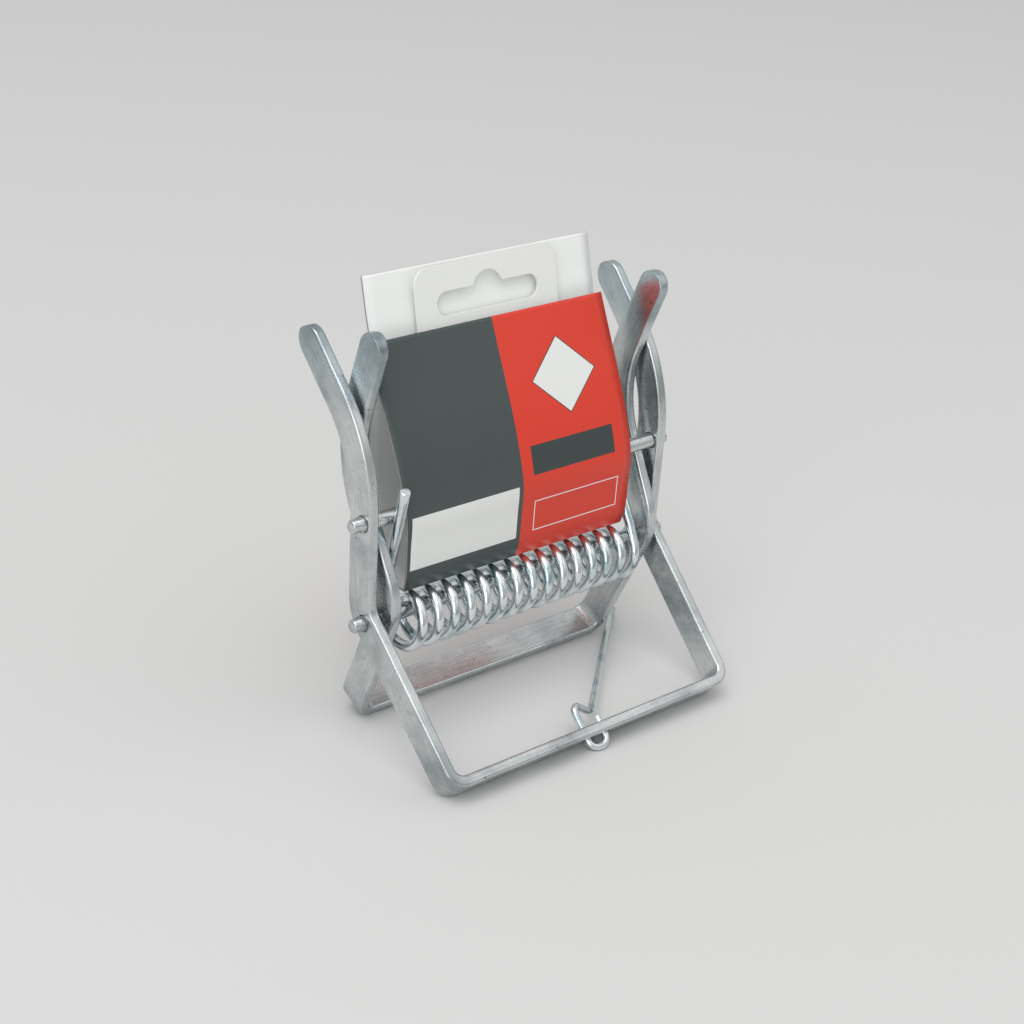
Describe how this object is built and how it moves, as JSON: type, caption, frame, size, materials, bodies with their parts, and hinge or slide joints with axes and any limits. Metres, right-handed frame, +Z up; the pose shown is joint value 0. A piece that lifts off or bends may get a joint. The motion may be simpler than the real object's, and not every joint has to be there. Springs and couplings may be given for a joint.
{
  "type": "mole trap",
  "caption": "Squeeze-open mole trap: crossing steel strip frames on a pivot rod with a long torsion spring, a trigger wire and a folded header card.",
  "frame": {"origin": "on the floor under the middle of the trap's bounding box", "axes": "+Z up, X along the pivot rod and the bars, +Y from the outer frame's bar towards the inner frame's bar"},
  "size_m": [0.1063, 0.0674, 0.1168],
  "materials": {
    "strip_steel": "satin galvanised",
    "rod_steel": "satin galvanised",
    "spring_wire": "bright zinc",
    "trigger_wire": "bright zinc",
    "printed_card": "semi-gloss coated",
    "white_card": "semi-gloss coated"
  },
  "bodies": {
    "outer_frame": {"outer_frame": "strip_steel", "pivot_rod": "rod_steel", "stop_rod": "rod_steel", "main_spring": "spring_wire", "header_card": "printed_card", "hang_tab": "white_card"},
    "inner_frame": {"inner_frame": "strip_steel"},
    "trigger": {"trigger": "trigger_wire"}
  },
  "joints": [
    {"name": "frame_hinge", "type": "hinge", "parent": "outer_frame", "child": "inner_frame", "pos_m": [0, 0.00485, 0.035], "axis": [-1, 0, 0], "range_deg": [0, 20], "stiffness_Nm_per_rad": 0.9, "springref_deg": -57.3, "deforming": ["main_spring"]},
    {"name": "trigger_swing", "type": "hinge", "parent": "outer_frame", "child": "trigger", "pos_m": [0.001, -0.02955, 0.0039], "axis": [0, -0.7404, -0.6722], "range_deg": [0, 16.5]}
  ],
  "couplings": [
    {"joint": "trigger_swing", "follows": "frame_hinge", "ratio": 0.8}
  ]
}
